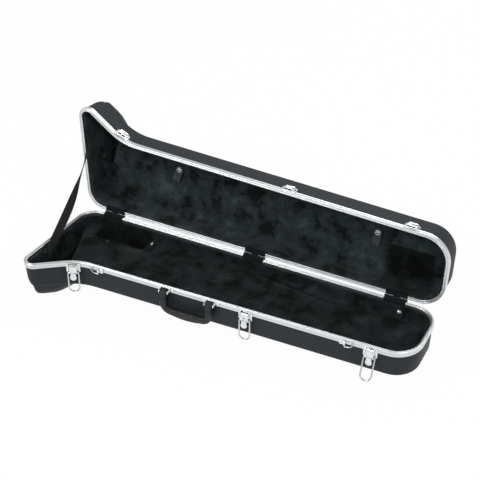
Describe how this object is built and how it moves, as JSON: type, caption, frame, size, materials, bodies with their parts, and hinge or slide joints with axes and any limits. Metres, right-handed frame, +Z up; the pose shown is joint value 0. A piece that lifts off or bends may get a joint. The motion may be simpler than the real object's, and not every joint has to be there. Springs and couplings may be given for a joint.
{
  "type": "trombone case",
  "caption": "Hard case shaped for a slide trombone, lying open, with moulded shells, metal rims, draw latches, a swinging handle and a plush lining.",
  "frame": {"origin": "centre of the bounding box in plan, on the table under the case", "axes": "+X along the case from the wide bell end to the slim end, +Y from the latched front to the hinge side, +Z up"},
  "size_m": [0.9462, 0.402, 0.3753],
  "materials": {
    "shell_plastic": "satin",
    "handle_plastic": "satin",
    "rim_aluminium": "satin",
    "plush": "matte",
    "hinge_black": "satin",
    "chrome": "polished",
    "leather": "satin",
    "webbing": "matte"
  },
  "bodies": {
    "base": {"base_shell": "shell_plastic", "base_lining": "plush", "base_rim": "rim_aluminium", "hinge_1_base_leaf": "hinge_black", "hinge_1_pin": "hinge_black", "latch_1_plate": "chrome", "hinge_2_base_leaf": "hinge_black", "hinge_2_pin": "hinge_black", "latch_2_plate": "chrome", "hinge_3_base_leaf": "hinge_black", "hinge_3_pin": "hinge_black", "latch_3_plate": "chrome", "handle_bracket_left": "chrome", "handle_bracket_right": "chrome", "handle_pin_left": "chrome", "handle_pin_right": "chrome", "ring_plate_1": "chrome", "ring_plate_2": "chrome", "stay_stud_base": "chrome", "lid_stay": "webbing", "base_strap_1": "leather", "base_strap_snap_1": "chrome", "base_strap_2": "leather", "base_strap_snap_2": "chrome"},
    "lid": {"lid_shell": "shell_plastic", "lid_lining": "plush", "lid_rim": "rim_aluminium", "hinge_1_lid_leaf": "hinge_black", "keeper_1": "chrome", "hinge_2_lid_leaf": "hinge_black", "keeper_2": "chrome", "hinge_3_lid_leaf": "hinge_black", "keeper_3": "chrome", "stay_stud_lid": "chrome"},
    "lever_1": {"latch_1_lever": "chrome"},
    "bail_1": {"latch_1_bail": "chrome"},
    "lever_2": {"latch_2_lever": "chrome"},
    "bail_2": {"latch_2_bail": "chrome"},
    "lever_3": {"latch_3_lever": "chrome"},
    "bail_3": {"latch_3_bail": "chrome"},
    "carrying_handle": {"handle": "handle_plastic"},
    "ring_1": {"strap_ring_1": "chrome"},
    "ring_2": {"strap_ring_2": "chrome"},
    "tab_1": {"lid_tab_1": "leather", "lid_tab_snap_1": "chrome"},
    "tab_2": {"lid_tab_2": "leather", "lid_tab_snap_2": "chrome"}
  },
  "joints": [
    {"name": "lid_hinge", "type": "hinge", "parent": "base", "child": "lid", "pos_m": [-0.0059, 0.06008, 0.0954], "axis": [0.9988, 0, -0.0494], "range_deg": [0, 98], "deforming": ["lid_stay"]},
    {"name": "lever_1_swing", "type": "hinge", "parent": "base", "child": "lever_1", "pos_m": [-0.35817, -0.15467, 0.10606], "axis": [-0.9168, -0.3969, 0.0453], "range_deg": [0, 115]},
    {"name": "bail_1_swing", "type": "hinge", "parent": "lever_1", "child": "bail_1", "pos_m": [-0.35911, -0.15467, 0.08708], "axis": [0.9168, 0.3969, -0.0453], "range_deg": [-170, 3]},
    {"name": "lever_2_swing", "type": "hinge", "parent": "base", "child": "lever_2", "pos_m": [0.07478, -0.13306, 0.08465], "axis": [-0.9984, -0.0286, 0.0494], "range_deg": [0, 115]},
    {"name": "bail_2_swing", "type": "hinge", "parent": "lever_2", "child": "bail_2", "pos_m": [0.07384, -0.13306, 0.06568], "axis": [0.9984, 0.0286, -0.0494], "range_deg": [-170, 3]},
    {"name": "lever_3_swing", "type": "hinge", "parent": "base", "child": "lever_3", "pos_m": [0.36944, -0.12462, 0.07009], "axis": [-0.9984, -0.0286, 0.0494], "range_deg": [0, 115]},
    {"name": "bail_3_swing", "type": "hinge", "parent": "lever_3", "child": "bail_3", "pos_m": [0.3685, -0.12462, 0.05111], "axis": [0.9984, 0.0286, -0.0494], "range_deg": [-145.3, 27.7]},
    {"name": "handle_swing", "type": "hinge", "parent": "base", "child": "carrying_handle", "pos_m": [-0.06679, -0.14282, 0.09176], "axis": [-0.9984, -0.0286, 0.0494], "range_deg": [-3, 100]},
    {"name": "ring_1_swing", "type": "hinge", "parent": "base", "child": "ring_1", "pos_m": [-0.29834, -0.14145, 0.1016], "axis": [0.0494, 0, 0.9988], "range_deg": [0, 160]},
    {"name": "ring_2_swing", "type": "hinge", "parent": "base", "child": "ring_2", "pos_m": [0.30986, -0.12402, 0.07153], "axis": [-0.0494, 0, -0.9988], "range_deg": [0, 160]},
    {"name": "tab_1_swing", "type": "hinge", "parent": "lid", "child": "tab_1", "pos_m": [-0.21971, 0.14322, 0.23815], "axis": [-0.9378, 0.0419, 0.3445], "range_deg": [0, 90]},
    {"name": "tab_2_swing", "type": "hinge", "parent": "lid", "child": "tab_2", "pos_m": [0.28618, 0.14077, 0.19569], "axis": [-0.9863, 0.0162, 0.1644], "range_deg": [0, 90]}
  ]
}
